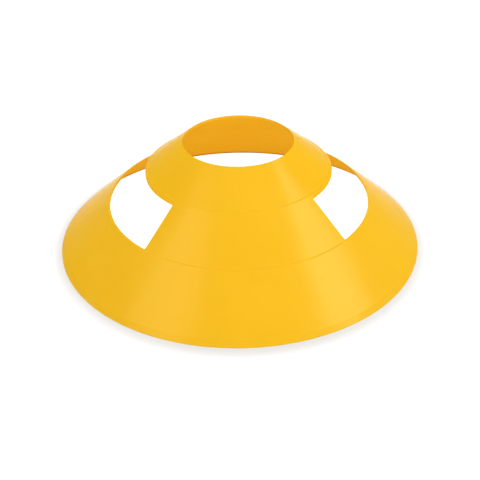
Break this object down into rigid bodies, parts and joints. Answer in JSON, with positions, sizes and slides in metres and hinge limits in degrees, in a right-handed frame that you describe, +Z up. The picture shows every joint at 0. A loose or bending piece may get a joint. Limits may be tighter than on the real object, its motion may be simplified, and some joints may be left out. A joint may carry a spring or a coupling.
{
  "type": "sports marker cone",
  "caption": "Low saucer-shaped marker cone: a thin moulded shell with a large hole in the top and wide side windows, for marking out drills on a pitch.",
  "frame": {"origin": "centre of the foot, on the ground, below the hole", "axes": "+Z up through the hole; the struts face -Y and +Y, the windows open to -X and +X"},
  "size_m": [0.2, 0.2, 0.0604],
  "materials": {
    "yellow_polyethylene": "satin moulded, slightly translucent"
  },
  "bodies": {
    "root": {"ground_rim": "yellow_polyethylene", "skirt": "yellow_polyethylene", "front_strut": "yellow_polyethylene", "rear_strut": "yellow_polyethylene", "top_collar": "yellow_polyethylene"}
  },
  "joints": []
}
